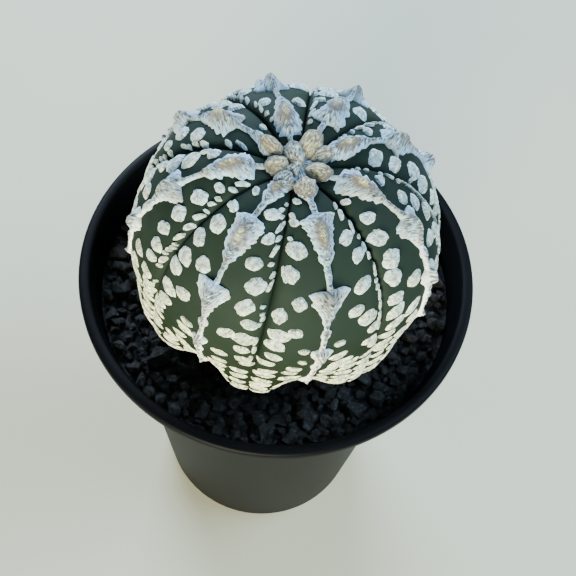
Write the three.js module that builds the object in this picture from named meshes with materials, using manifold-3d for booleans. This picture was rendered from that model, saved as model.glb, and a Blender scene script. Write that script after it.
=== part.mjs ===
// A star cactus in a deep round nursery pot, in millimetres, +Z up, origin at the middle of the pot's foot.
// The plant is a squat globe of eight flat ribs. White woolly flecks stand on its skin, and a star of wool
// runs from the sunken crown down the middle of each rib. It sits in dark gravel over a potting mix.
import * as THREE from "three";
import { mergeVertices } from "three/addons/utils/BufferGeometryUtils.js";
import Module from "manifold-3d";

const wasm = await Module();
wasm.setup();

// Pot: a thin moulded cone with a wider collar and a turned-out lip
const POT_HEIGHT = 99;
const LIP_R = 45;
const LIP_INNER_R = 42.9;
const LIP_CORNER = 0.6;
const LIP_DROP = 2.2;
const COLLAR_R = 42.8;
const COLLAR_TAPER = 0.8;
const COLLAR_HEIGHT = 10;
const SHOULDER_HEIGHT = 4.5;
const BODY_TOP_R = 35.9;
const BASE_R = 27.6;
const WALL = 1;
const FOOT_WIDTH = 4;
const FOOT_HEIGHT = 2;
const FLOOR_THICKNESS = 1.6;
const DRAIN_R = 3.2;
const DRAIN_RING_R = 15;
const DRAIN_COUNT = 6;
const DRAIN_SIDES = 8;
const POT_SIDES = 44;
const LIP_Z = POT_HEIGHT - LIP_DROP;
const COLLAR_Z = POT_HEIGHT - COLLAR_HEIGHT;

// Filling
const GAP = 0.35;
const GRAVEL_DEPTH = 8;
const GRAVEL_BELOW_LIP = 8.4;
const GRAVEL_TOP = POT_HEIGHT - GRAVEL_BELOW_LIP;
const GRAVEL_BOTTOM = GRAVEL_TOP - GRAVEL_DEPTH;
const STONE_SIZE = 6;
const STONE_SIDES = 5;
const STONE_RISE = 1.3;
const STONE_SUNK = 1.5;
const STONE_SPACING = 7.4;
const STONE_FREE_R = 24;
// How far a stone's corners lie from its middle, as [least, spread] in shares of half its size
const STONE_TOP_REACH = [0.45, 0.4];
const STONE_FOOT_REACH = [0.8, 0.35];
const STONE_SKEW = 0.6;
const STONE_RING_SHARE = 0.87;
// How far a stone may lie from its place: a share of the step round, then millimetres inward and upward
const STONE_SCATTER = [0.3, 0.8, 0.7];
const BED_SIDES = 24;
const HOLE_STACKS = 13;
const HOLE_CLEARANCE = 2.8;

// Cactus: an ellipsoid sunk at the crown, with a narrow crease between ribs that fades low down. There the
// skin swells on each side of the creases and the middles of the ribs stay behind.
const GIRTH_R = 33.1;
const HALF_HEIGHT = 29.4;
const CENTRE = new THREE.Vector3(0.9, 0, 114.5);
const LEAN = 0.03;
const CROWN_DIMPLE = 5;
const CROWN_DIMPLE_SPAN = 17;
const RIB_ROUNDING = 0.7;
const ROUNDING_POWER = 2.5;
const CREASE_DEPTH = 1.4;
const CREASE_POWER = 9;
const CREASE_FADE = 0.75;
const CREASE_FADE_ANGLES = [74, 96];
const FOLD_ANGLES = [1, 20];
// The swelling is whole at the second of these angles from the crown; the phases are shares of the half rib
const SWELL_ANGLES = [90, 112];
const SWELL_IN = 1.5;
const SWELL_IN_PHASES = [0, 0.6];
const SWELL_OUT = 1.9;
const SWELL_OUT_PHASES = [0.2, 0.8];
const MM_PER_DEGREE = 0.56;
const TURN = 360;
// The middle of each rib, in degrees round from +X, and how far it turns on its way down. Each crease lies
// halfway between two of them.
const RIB_AZIMUTHS = [-169, -119, -69, -17, 29, 66, 107, 148];
const RIB_DRIFTS = [2, 3, -9, -12, -5, 0, 0, 0];
const DRIFT_ANGLES = [45, 105];
// The places round a rib and down the plant at which its skin has corners
const SKIN_PHASES = [-1, -0.86, -0.5, 0, 0.5, 0.86];
const SKIN_ANGLES = [4.5, 10, 17, 25, 35, 45, 55, 65, 75, 86, 97, 108, 120, 136, 158];

// Wool: areoles lie on a rib at these angles from the crown, and each rib starts a little further along
const AREOLE_ANGLES = [3, 20, 46, 70, 91, 110, 128];
const RIB_PHASES = [0.1, 0.55, 0.35, 0.1, -0.1, 0.3, 0, 0.55];
const WOOL_START_ANGLE = 5.5;
const WOOL_END_ANGLE = 107;
const WOOL_UNDER = 0.65;
const WOOL_EDGE = 1.3;
const WOOL_RIDGE = 1.7;
const TUFT_RISE = 1.4;
const TUFT_RISE_PAST = -3;
const TUFT_RISE_ANGLE = 5;
const TUFT_FLATTENING = 0.8;
const FLATTENING_ANGLES = [40, 75];
const NECK_HALF_WIDTH = 0.6;
// The size of a tuft at [angle from the crown, size], and the share of a half rib that the wool may cover
const TUFT_SIZES = [[2, 0.45], [22, 1], [64, 1.05], [78, 0.65]];
const WOOL_SHARE = 0.75;
// Half the width of a tuft at angles before and after its areole. Near the crown a tuft is a blunt leaf; past
// the winged angles two barbs stand out above a long tapered tail.
const TUFT_OUTLINE = [[-8, 0.6], [-5.3, 3.2], [3, 2.4], [11, 0.6]];
const WINGED_OUTLINE = [[-7, 0.6], [-4.6, 3.6], [1, 2.1], [10, 0.6]];
const WINGED_ANGLES = [38, 52];
const BARB_SWEEPS = [[38, 0.2], [52, 0.4]];
const CROWN_ANGLE = 9;
const CROWN_EDGE_ANGLE = 26;
const CROWN_STEP = 5;
const STATION_GAP = 0.9;
// Buds of wool on the crown, as [rib, angle from the crown, half width, half length, half height]
const BUDS = [
  [6, 3.5, 2.1, 3.4, 2.2],
  [5, 9, 2.3, 3.3, 1.9],
  [3, 7.5, 2.0, 2.9, 1.8],
  [2, 10, 2.3, 2.6, 1.8],
  [1, 8, 2.1, 2.2, 1.9],
  [0, 6.6, 2.2, 2.6, 1.9],
  [7, 11, 1.6, 2.9, 1.8],
  [4, 9.5, 1.7, 2.7, 1.6],
  [1, 3, 1.6, 1.6, 1.8],
];

// Flecks: rows that run down from the creases and meet in a V on the middle of the rib, as many side by side
// as the skin between crease and wool has room for. Every list below holds [angle from the crown, value].
const FLECK_ANGLES = [9, 125];
const FLECK_ROW_STEPS = [[50, 4.7], [72, 3.3], [92, 2.35]];
const FLECK_SLOPES = [[50, 0.5], [105, 0.3]];
const FLECK_SIZES = [[12, 1.2], [28, 1.75], [48, 2.0], [75, 1.85], [95, 1.6]];
const FLECK_LENGTHS = [[55, 1.0], [90, 1.3]];
const FLECK_HEIGHTS = [[50, 0.92], [92, 0.85]];
// The room that a fleck takes up across the rib, and the least size it may have, in shares of its full size
const FLECK_PITCH = 2.4;
const FLECK_LEAST = 0.65;
const FLECK_COLUMNS = 4;
const FLECK_SIDES = 5;
const FLECK_LIFT = 0.8;
const FLECK_SUNK = 0.9;
const FLECK_CLEARANCE = 0.45;
// The strip left free beside a crease; below zero the flecks reach over it
const SEAM_ROOMS = [[66, 1.0], [84, -0.6]];
// The shares of the row step by which a whole side, and every other column, lies further down, then how far
// each fleck strays downward and in size
const FLECK_SHIFT = 0.8;
const FLECK_STAGGER = 0.4;
const FLECK_STRAY_DOWN = 1.2;
const FLECK_STRAY_SIZE = 0.5;
const DENSE_ANGLE = 60;
const DENSE_ROWS = 3;
// How far a fleck turns in its place, in radians, above and below the angle where they crowd together
const FLECK_TURNS = [3, 0.6];
// Wool this many degrees further along the rib keeps a fleck away too
const WOOL_REACH = [-3, 0, 3];

const ribs = RIB_AZIMUTHS.map((_, rib) => rib);
const radians = THREE.MathUtils.degToRad;
const { smoothstep } = THREE.MathUtils;

// A number from 0 to 1 that depends only on its arguments.
function chance(a, b = 0, c = 0, d = 0) {
  const x = Math.sin(a * 12.9898 + b * 78.233 + c * 37.719 + d * 9.151) * 43758.5453;
  return x - Math.floor(x);
}

// The value at x of a line through the points of a list of [x, y].
function along(list, x) {
  const after = list.findIndex(([at]) => x <= at);
  if (after === 0) return list[0][1];
  if (after < 0) return list[list.length - 1][1];
  const [x0, y0] = list[after - 1];
  const [x1, y1] = list[after];
  return y0 + ((y1 - y0) * (x - x0)) / (x1 - x0);
}

function ribAzimuth(rib, polar) {
  return RIB_AZIMUTHS[rib] + along([[DRIFT_ANGLES[0], 0], [DRIFT_ANGLES[1], RIB_DRIFTS[rib]]], polar);
}

// Half the angle between a rib and the next one round, on the side that is +1 or -1.
function halfAngle(rib, side, polar) {
  const next = (rib + side + ribs.length) % ribs.length;
  const apart = side * (ribAzimuth(next, polar) - ribAzimuth(rib, polar));
  return ((apart + 2 * TURN) % TURN) / 2;
}

// A point of the skin. phase runs from -1 at one crease of the rib to 1 at the other, and lift stands off the
// skin.
function skin(rib, phase, polar, lift = 0) {
  const azimuth = radians(ribAzimuth(rib, polar) + phase * halfAngle(rib, phase < 0 ? -1 : 1, polar));
  const p = radians(polar);
  const level = Math.sin(p);
  const point = new THREE.Vector3(level * Math.cos(azimuth), level * Math.sin(azimuth), Math.cos(p));
  const out = new THREE.Vector3(point.x / GIRTH_R, point.y / GIRTH_R, point.z / HALF_HEIGHT).normalize();
  const side = Math.abs(phase);
  const low = smoothstep(polar, ...SWELL_ANGLES);
  const rounding = RIB_ROUNDING * (1 - low) * side ** ROUNDING_POWER;
  const shallow = 1 - CREASE_FADE * smoothstep(polar, ...CREASE_FADE_ANGLES);
  const fold = smoothstep(polar, ...FOLD_ANGLES) * (rounding + CREASE_DEPTH * shallow * side ** CREASE_POWER);
  const swollen = SWELL_OUT * smoothstep(side, ...SWELL_OUT_PHASES);
  const swell = low * (swollen - SWELL_IN * (1 - smoothstep(side, ...SWELL_IN_PHASES)));
  point.multiply(new THREE.Vector3(GIRTH_R, GIRTH_R, HALF_HEIGHT));
  point.z -= CROWN_DIMPLE * Math.exp(-((polar / CROWN_DIMPLE_SPAN) ** 2));
  point.addScaledVector(out, lift - fold + swell);
  point.x += LEAN * point.z;
  return point.add(CENTRE);
}

// How many millimetres of skin lie between the middle of a rib and its crease on one side.
function creaseAt(rib, side, polar) {
  return GIRTH_R * Math.sin(radians(polar)) * radians(halfAngle(rib, side, polar));
}

// The phase that lies a number of millimetres to one side of the middle of a rib.
function phaseAt(rib, across, polar) {
  return across / creaseAt(rib, across < 0 ? -1 : 1, polar);
}

// A closed geometry without its normals and texture coordinates, each corner once.
function welded(geometry) {
  const bare = geometry.clone();
  bare.deleteAttribute("normal");
  bare.deleteAttribute("uv");
  return mergeVertices(bare, 1e-4);
}

// A cylinder bent to shape: place(side, station) is where each corner goes, counted round and down from its
// first end, and middle(station) is where the middle of each end goes.
function bentCylinder(sides, stations, place, middle) {
  const last = stations - 1;
  const geometry = welded(new THREE.CylinderGeometry(1, 1, last, sides, last));
  const corners = geometry.attributes.position;
  for (let i = 0; i < corners.count; i++) {
    const [x, y, z] = [corners.getX(i), corners.getY(i), corners.getZ(i)];
    const station = Math.round(last / 2 - y);
    const side = Math.round((Math.atan2(x, z) * sides) / (2 * Math.PI) + sides) % sides;
    const to = Math.hypot(x, z) > 0.5 ? place(side, station) : middle(station);
    corners.setXYZ(i, to.x, to.y, to.z);
  }
  return geometry;
}

function solidOf(geometry) {
  const { attributes, index } = welded(geometry);
  const vertProperties = new Float32Array(attributes.position.array);
  const triVerts = new Uint32Array(index.array);
  return new wasm.Manifold(new wasm.Mesh({ numProp: 3, vertProperties, triVerts }));
}

function meshOf(name, solid, material) {
  const made = solid.getMesh();
  const geometry = new THREE.BufferGeometry();
  geometry.setAttribute("position", new THREE.BufferAttribute(made.vertProperties, 3));
  geometry.setIndex(new THREE.BufferAttribute(made.triVerts, 1));
  geometry.computeVertexNormals();
  const mesh = new THREE.Mesh(geometry, material);
  mesh.name = name;
  return mesh;
}

// A turned solid from a profile of [radius, height].
function turned(profile, sides = POT_SIDES) {
  const points = profile.map(([r, z]) => new THREE.Vector2(r, z));
  return solidOf(new THREE.LatheGeometry(points, sides).rotateX(Math.PI / 2));
}

// The pot's inner wall from the floor up to a height, as [radius, height], taken in by a gap.
function innerWall(top, gap) {
  const wall = [
    [BASE_R - WALL, FOOT_HEIGHT + FLOOR_THICKNESS],
    [BODY_TOP_R - WALL, COLLAR_Z - SHOULDER_HEIGHT + WALL / 2],
    [COLLAR_R - COLLAR_TAPER - WALL, COLLAR_Z + WALL / 2],
    [COLLAR_R - WALL, LIP_Z],
  ];
  const topRadius = along(wall.map(([r, z]) => [z, r]), top);
  return [...wall.filter(([, z]) => z < top), [topRadius, top]].map(([r, z]) => [r - gap, z]);
}

function makePot() {
  const outside = [
    [0, FOOT_HEIGHT],
    [BASE_R - FOOT_WIDTH, FOOT_HEIGHT],
    [BASE_R - FOOT_WIDTH, 0],
    [BASE_R - LIP_CORNER, 0],
    [BASE_R, LIP_CORNER],
    [BODY_TOP_R, COLLAR_Z - SHOULDER_HEIGHT],
    [COLLAR_R - COLLAR_TAPER, COLLAR_Z],
    [COLLAR_R, LIP_Z],
    [LIP_R, LIP_Z],
    [LIP_R, POT_HEIGHT - LIP_CORNER],
    [LIP_R - LIP_CORNER, POT_HEIGHT],
    [LIP_INNER_R, POT_HEIGHT],
    [LIP_INNER_R - LIP_CORNER, POT_HEIGHT - LIP_CORNER],
  ];
  const inside = innerWall(LIP_Z, 0).reverse();
  const punch = new THREE.CylinderGeometry(DRAIN_R, DRAIN_R, 3 * FLOOR_THICKNESS, DRAIN_SIDES);
  const drain = solidOf(punch.rotateX(Math.PI / 2));
  const level = FOOT_HEIGHT + FLOOR_THICKNESS / 2;
  let pot = turned([...outside, ...inside, [0, FOOT_HEIGHT + FLOOR_THICKNESS]]);
  for (let i = 0; i < DRAIN_COUNT; i++) {
    const turn = (i * 2 * Math.PI) / DRAIN_COUNT;
    const [x, y] = [DRAIN_RING_R * Math.cos(turn), DRAIN_RING_R * Math.sin(turn)];
    pot = pot.subtract(drain.translate([x, y, level]));
  }
  return pot;
}

// The skin of the cactus as a closed solid, standing off by a lift.
function makeSkin(lift = 0) {
  const around = SKIN_PHASES.length;
  const place = (side, station) =>
    skin(Math.floor(side / around), SKIN_PHASES[side % around], SKIN_ANGLES[station], lift);
  const pole = (station) => skin(0, 0, station === 0 ? 0 : TURN / 2, lift);
  return solidOf(bentCylinder(ribs.length * around, SKIN_ANGLES.length, place, pole));
}

// The angle from the crown of the areole that a rib has at a place in the list, and the size of its tuft.
function areole(rib, index) {
  const angle = along(AREOLE_ANGLES.map((at, i) => [i, at]), index + RIB_PHASES[rib]);
  return { angle, size: along(TUFT_SIZES, angle) };
}

// How wide the wool is on each side of the rib's middle, in millimetres, and how high its ridge stands.
function woolAt(rib, polar) {
  let halfWidth = NECK_HALF_WIDTH;
  let ridge = WOOL_RIDGE;
  for (let i = 0; i < AREOLE_ANGLES.length - 1; i++) {
    const { angle, size } = areole(rib, i);
    const past = (polar - angle) / size;
    const winged = smoothstep(angle, ...WINGED_ANGLES);
    const outline = (1 - winged) * along(TUFT_OUTLINE, past) + winged * along(WINGED_OUTLINE, past);
    const flattened = 1 - TUFT_FLATTENING * smoothstep(angle, ...FLATTENING_ANGLES);
    const rise = TUFT_RISE * (1 - Math.abs(past - TUFT_RISE_PAST) / TUFT_RISE_ANGLE);
    halfWidth = Math.max(halfWidth, size * outline);
    ridge = Math.max(ridge, WOOL_RIDGE + flattened * rise);
  }
  const room = WOOL_SHARE * Math.min(creaseAt(rib, -1, polar), creaseAt(rib, 1, polar));
  return { halfWidth: Math.min(halfWidth, room), ridge };
}

// The angles from the crown at which an arm of wool changes its width, with more where the skin bends most.
function armStations(rib) {
  const stations = [WOOL_START_ANGLE];
  const add = (polar, apart) => {
    const free = stations.every((other) => Math.abs(other - polar) > apart);
    if (free && polar > WOOL_START_ANGLE && polar < WOOL_END_ANGLE) stations.push(polar);
  };
  for (let i = 0; i < AREOLE_ANGLES.length - 1; i++) {
    const { angle, size } = areole(rib, i);
    const outline = angle > WINGED_ANGLES[0] ? WINGED_OUTLINE : TUFT_OUTLINE;
    for (const [past] of outline) add(angle + past * size, STATION_GAP);
  }
  for (let polar = WOOL_START_ANGLE; polar < CROWN_EDGE_ANGLE; polar += CROWN_STEP)
    add(polar, CROWN_STEP / 2);
  return stations.sort((a, b) => a - b);
}

// An arm of wool down the middle of a rib, five-cornered in section.
function makeWoolArm(rib) {
  const stations = armStations(rib);
  const place = (side, station, lift) => {
    const { halfWidth } = woolAt(rib, stations[station]);
    const sweep = along(BARB_SWEEPS, stations[station]) * (halfWidth - NECK_HALF_WIDTH);
    const polar = stations[station] - Math.abs(side) * sweep;
    return skin(rib, phaseAt(rib, side * halfWidth, polar), polar, lift);
  };
  const corners = [
    (station) => place(-1, station, WOOL_UNDER),
    (station) => place(-1, station, WOOL_EDGE),
    (station) => place(0, station, woolAt(rib, stations[station]).ridge),
    (station) => place(1, station, WOOL_EDGE),
    (station) => place(1, station, WOOL_UNDER),
  ];
  const middle = (station) => place(0, station, (WOOL_UNDER + WOOL_EDGE) / 2);
  const corner = (side, station) => corners[side](station);
  return solidOf(bentCylinder(corners.length, stations.length, corner, middle));
}

// A bud of wool on the middle of a rib.
function makeBud([rib, polar, width, length, height]) {
  const middle = skin(rib, 0, polar, height / 2 + WOOL_UNDER);
  const downRib = skin(rib, 0, polar + 1).sub(skin(rib, 0, Math.max(polar - 1, 0.1))).normalize();
  const across = skin(rib, -0.2, polar).sub(skin(rib, 0.2, polar)).normalize();
  const out = new THREE.Vector3().crossVectors(across, downRib);
  const bud = new THREE.SphereGeometry(1, 6, 4).scale(width, length, height);
  return solidOf(bud.applyMatrix4(new THREE.Matrix4().makeBasis(across, downRib, out).setPosition(middle)));
}

function makeStar() {
  const lifts = [WOOL_EDGE, WOOL_UNDER];
  const place = (side, station) => skin(Math.floor(side / 2), (side % 2) - 1, CROWN_ANGLE, lifts[station]);
  const pole = (station) => skin(0, 0, 0, lifts[station]);
  const crown = bentCylinder(2 * ribs.length, lifts.length, place, pole);
  const buds = wasm.Manifold.union(BUDS.map(makeBud)).subtract(makeSkin(GAP));
  return wasm.Manifold.union([solidOf(crown), buds, ...ribs.map(makeWoolArm)]);
}

// The angles from the crown at which the rows of flecks leave the creases.
function fleckRows() {
  const rows = [FLECK_ANGLES[0]];
  while (rows[rows.length - 1] < FLECK_ANGLES[1]) {
    const last = rows[rows.length - 1];
    rows.push(last + along(FLECK_ROW_STEPS, last) / MM_PER_DEGREE);
  }
  return rows;
}

// The fleck of a rib at one place of one row, or nothing where there is no room for it.
function fleckAt(rib, side, row, rowAngle, column) {
  const draw = (n) => chance(rib + 1, side * (row + 1), column + 1, n) - 0.5;
  const woolBeside = (angle) =>
    FLECK_CLEARANCE + Math.max(...WOOL_REACH.map((step) => woolAt(rib, angle + step).halfWidth));
  const rowStep = along(FLECK_ROW_STEPS, rowAngle);
  const start = rowAngle + (FLECK_SHIFT * rowStep * chance(rib + 1, side, 5)) / MM_PER_DEGREE;
  const full = along(FLECK_SIZES, start) * along(FLECK_LENGTHS, start);
  const seam = along(SEAM_ROOMS, start);
  const outer = creaseAt(rib, side, start) - FLECK_CLEARANCE - (side > 0 || seam < 0 ? seam : 0);
  const strip = outer - woolBeside(start);
  const columns = Math.max(1, Math.round(strip / (full * FLECK_PITCH)));
  if (column >= columns || strip < 2 * full * FLECK_LEAST) return null;
  const pitch = strip / columns;
  const most = Math.min(full * (1 + FLECK_STRAY_SIZE * draw(3)), pitch / 2);
  const inward = pitch * (column + 0.5) + (pitch - 2 * most) * draw(1);
  const downward = along(FLECK_SLOPES, start) * inward + FLECK_STAGGER * rowStep * (column % 2);
  const polar = start + (downward + FLECK_STRAY_DOWN * draw(2)) / MM_PER_DEGREE;
  const across = outer - inward;
  const length = Math.min(most, across - woolBeside(polar));
  if (length < full * FLECK_LEAST || polar > FLECK_ANGLES[1]) return null;
  const height = (length * along(FLECK_HEIGHTS, polar)) / along(FLECK_LENGTHS, polar);
  const turn = draw(4) * FLECK_TURNS[polar > DENSE_ANGLE ? 1 : 0];
  return { rib, across: side * across, polar, length, height, turn };
}

function makeFleck({ rib, across, polar, length, height, turn }) {
  const place = (x, y, lift) => {
    const sideways = across + x * Math.cos(turn) - y * Math.sin(turn);
    const angle = polar + (x * Math.sin(turn) + y * Math.cos(turn)) / MM_PER_DEGREE;
    return skin(rib, phaseAt(rib, sideways, angle), angle, lift);
  };
  const lifts = [FLECK_LIFT, -FLECK_SUNK];
  const corner = (side, station) => {
    const around = (side * 2 * Math.PI) / FLECK_SIDES;
    return place(length * Math.cos(around), -height * Math.sin(around), lifts[station]);
  };
  return solidOf(bentCylinder(FLECK_SIDES, lifts.length, corner, (station) => place(0, 0, lifts[station])));
}

// The skin with its flecks. Where they crowd together low down, each one kept stands for a few.
function makeBody() {
  const flecks = [];
  fleckRows().forEach((rowAngle, row) => {
    if (rowAngle > DENSE_ANGLE && row % DENSE_ROWS > 0) return;
    for (const rib of ribs)
      for (const side of [-1, 1])
        for (let column = 0; column < FLECK_COLUMNS; column++)
          flecks.push(fleckAt(rib, side, row, rowAngle, column));
  });
  return wasm.Manifold.union([makeSkin(), ...flecks.filter(Boolean).map(makeFleck)]);
}

// An angular stone: a five-sided block, narrower at the top, with every corner pushed about.
function makeStone(x, y, z, seed) {
  const place = (side, station) => {
    const draw = (n) => chance(seed, STONE_SIDES * station + side, n);
    const [least, spread] = station === 0 ? STONE_TOP_REACH : STONE_FOOT_REACH;
    const around = ((side + STONE_SKEW * draw(1)) * 2 * Math.PI) / STONE_SIDES + seed;
    const radius = (STONE_SIZE / 2) * (least + spread * draw(2));
    const height = station === 0 ? STONE_RISE * (0.5 + draw(3)) : -STONE_SUNK;
    return new THREE.Vector3(x + radius * Math.cos(around), y + radius * Math.sin(around), z + height);
  };
  const middle = (station) => new THREE.Vector3(x, y, z + (station === 0 ? STONE_RISE : -STONE_SUNK));
  return solidOf(bentCylinder(STONE_SIDES, 2, place, middle));
}

function makeGravel() {
  const wall = innerWall(GRAVEL_TOP, GAP);
  const bottomRadius = along(wall.map(([r, z]) => [z, r]), GRAVEL_BOTTOM);
  const sides = wall.filter(([, z]) => z > GRAVEL_BOTTOM);
  const profile = [[0, GRAVEL_BOTTOM], [bottomRadius, GRAVEL_BOTTOM], ...sides, [0, GRAVEL_TOP]];
  const bed = turned(profile, BED_SIDES);
  const [footLeast, footSpread] = STONE_FOOT_REACH;
  const outermost = sides[sides.length - 1][0] - (STONE_SIZE / 2) * (footLeast + footSpread);
  const [strayRound, strayIn, strayUp] = STONE_SCATTER;
  const stones = [];
  let radius = outermost;
  for (let ring = 0; radius > STONE_FREE_R; ring++) {
    const count = Math.floor((2 * Math.PI * radius) / STONE_SPACING);
    for (let i = 0; i < count; i++) {
      const seed = ring * 100 + i + 1;
      const step = i + 0.5 * (ring % 2) + strayRound * (chance(seed, 3) - 0.5);
      const around = (step * 2 * Math.PI) / count;
      const out = radius - strayIn * chance(seed, 4);
      const level = GRAVEL_TOP + strayUp * chance(seed, 5);
      stones.push(makeStone(out * Math.cos(around), out * Math.sin(around), level, seed));
    }
    radius -= STONE_SPACING * STONE_RING_SHARE;
  }
  const [width, height] = [GIRTH_R + HOLE_CLEARANCE, HALF_HEIGHT + HOLE_CLEARANCE];
  const hole = new THREE.SphereGeometry(1, BED_SIDES, HOLE_STACKS).scale(width, height, width);
  hole.rotateX(Math.PI / 2).translate(CENTRE.x, CENTRE.y, CENTRE.z);
  return wasm.Manifold.union([bed, ...stones]).subtract(solidOf(hole));
}

function makeMix() {
  const top = GRAVEL_BOTTOM - GAP;
  const floor = FOOT_HEIGHT + FLOOR_THICKNESS + GAP;
  const [[floorRadius], ...wall] = innerWall(top, GAP);
  return turned([[0, floor], [floorRadius, floor], ...wall, [0, top]]);
}

const plastic = new THREE.MeshStandardMaterial({ color: 0x1a1e20, roughness: 0.38, metalness: 0 });
const mix = new THREE.MeshStandardMaterial({ color: 0x2a2420, roughness: 0.95, metalness: 0 });
const lava = new THREE.MeshStandardMaterial({ color: 0x1d1f22, roughness: 0.7, metalness: 0 });
const flesh = new THREE.MeshStandardMaterial({ color: 0x3a4a36, roughness: 0.5, metalness: 0 });
const wool = new THREE.MeshStandardMaterial({ color: 0xd9d7cc, roughness: 0.9, metalness: 0 });

const group = new THREE.Group();
group.add(
  meshOf("pot", makePot(), plastic),
  meshOf("potting_mix", makeMix(), mix),
  meshOf("gravel", makeGravel(), lava),
  meshOf("cactus_body", makeBody(), flesh),
  meshOf("areole_star", makeStar(), wool),
);

export default group;
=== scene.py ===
# A star cactus in a deep round nursery pot, seen from above. Shapes are worked out in millimetres in the
# frame's own axes and turned to metres when a piece is finished.
import itertools
import math

import bmesh
import bpy
from mathutils import Matrix, Vector, noise


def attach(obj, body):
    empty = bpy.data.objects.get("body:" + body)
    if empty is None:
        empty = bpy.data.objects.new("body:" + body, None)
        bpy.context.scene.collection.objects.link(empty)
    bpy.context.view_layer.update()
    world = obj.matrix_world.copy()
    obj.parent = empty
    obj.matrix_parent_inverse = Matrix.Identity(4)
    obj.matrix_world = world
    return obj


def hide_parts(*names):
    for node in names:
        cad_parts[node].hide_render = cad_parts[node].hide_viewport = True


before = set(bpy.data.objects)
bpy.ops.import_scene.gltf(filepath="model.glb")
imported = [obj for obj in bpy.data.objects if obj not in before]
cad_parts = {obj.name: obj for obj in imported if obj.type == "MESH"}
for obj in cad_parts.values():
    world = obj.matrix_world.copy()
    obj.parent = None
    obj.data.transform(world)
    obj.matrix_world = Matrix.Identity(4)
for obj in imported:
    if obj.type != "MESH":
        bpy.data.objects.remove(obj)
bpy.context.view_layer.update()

MM = 0.001
SHARP_ANGLE = math.radians(50)
MERGE_DISTANCE = 1e-4
LEVEL_TOLERANCE = 0.01
SIDES = (-1, 1)
# What keeps the noise and the weave of one rib apart from those of the next
NOISE_STEP = 5.0
WEAVE_STEP = 9.0

# Pot, from the foot up
POT_HEIGHT = 99
LIP_R = 45
LIP_INNER_R = 42.9
LIP_THICKNESS = 2.2
LIP_Z = POT_HEIGHT - LIP_THICKNESS
CORNER = 0.6
CORNER_CUT = 0.2
INNER_CORNER_CUT = 0.35
COLLAR_R = 42.8
COLLAR_TAPER = 0.8
COLLAR_HEIGHT = 10
COLLAR_Z = POT_HEIGHT - COLLAR_HEIGHT
SHOULDER_HEIGHT = 4.5
BODY_TOP_R = 35.9
BASE_R = 27.6
WALL = 1
FOOT_WIDTH = 4
FOOT_HEIGHT = 2
FLOOR_THICKNESS = 1.6
DRAIN_R = 3.2
DRAIN_RING_R = 15
DRAIN_COUNT = 6
DRAIN_STEPS = 32
POT_STEPS = 192

# Gravel: a bed under the loose stones, which follows the wall of the pot
GRAVEL_TOP = 90.6
GRAVEL_BOTTOM = 82.6
GRAVEL_INNER_R = 21
GRAVEL_OUTER_R = 41.1
BED_TOP = GRAVEL_TOP - 1.2
BED_PROFILE = (
    (GRAVEL_INNER_R, GRAVEL_BOTTOM),
    (34.4, GRAVEL_BOTTOM),
    (34.6, 85.2),
    (40.6, BED_TOP),
    (GRAVEL_INNER_R, BED_TOP),
    (GRAVEL_INNER_R, GRAVEL_BOTTOM),
)
BED_STEPS = 96
# Layers of stones: how high they lie, how far apart, how large they are, and how far the ring is turned
STONE_LAYERS = ((0.0, 3.3, 3.0, 0.0), (0.9, 3.3, 2.9, 1.7), (1.5, 5.5, 3.9, 0.9))
STONE_ROW_STEP = 0.85
STONE_TURN_STRAY = 0.5
STONE_INWARD = 0.7
STONE_CLEARANCE = 0.6
STONE_SINK = 1.0
STONE_BOUNCE = 0.8
# The form of a stone: shares of its layer's size and of the ball that it is cut from, its tilt in radians
STONE_LEAST = 0.6
STONE_MORE = 0.85
STONE_BREADTH = 0.65
STONE_THICKNESS = 0.55
STONE_STRETCH = 0.3
STONE_TILT = 0.9
STONE_FILL = 1.25
STONE_FLATS = 7
FLAT_OUT = 0.45
FLAT_STRAY = 0.35
BALL_SIZE = 0.95
BALL_STRAY = 0.2

# Skin of the cactus
GIRTH_R = 33.1
HALF_HEIGHT = 29.4
CENTRE = Vector((0.9, 0, 114.5))
LEAN = 0.03
CROWN_DIMPLE = 5
CROWN_DIMPLE_SPAN = 17
RIB_ROUNDING = 0.55
ROUNDING_POWER = 2.5
CREASE_DEPTH = 1.2
CREASE_POWER = 15
CREASE_FADE = 0.75
CREASE_FADE_ANGLES = (74, 96)
FOLD_ANGLES = (1, 20)
SWELL_ANGLES = (90, 112)
SWELL_IN = 1.5
SWELL_IN_PHASES = (0, 0.6)
SWELL_OUT = 1.9
SWELL_OUT_PHASES = (0.2, 0.8)
GROOVE_DEPTH = 0.35
GROOVE_WIDTH = 0.2
GROOVE_ANGLES = (8, 26)
GROOVE_ROOM = 0.01
DENT_DEPTH = 0.12
DENT_SIZE = 4.0
MM_PER_DEGREE = 0.56
RIB_AZIMUTHS = (-169, -119, -69, -17, 29, 66, 107, 148)
RIB_DRIFTS = (2, 3, -9, -12, -5, 0, 0, 0)
DRIFT_ANGLES = (45, 105)
RIBS = range(len(RIB_AZIMUTHS))
SKIN_STEPS = 26
SKIN_RINGS = 150
SKIN_CROWDING = 1.7
# Heights in metres between which the skin goes from its olive low down to a lighter blue-green above, a
# painted reflection of the cool sky
SKIN_LIGHT_LEVELS = (0.088, 0.128)

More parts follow.
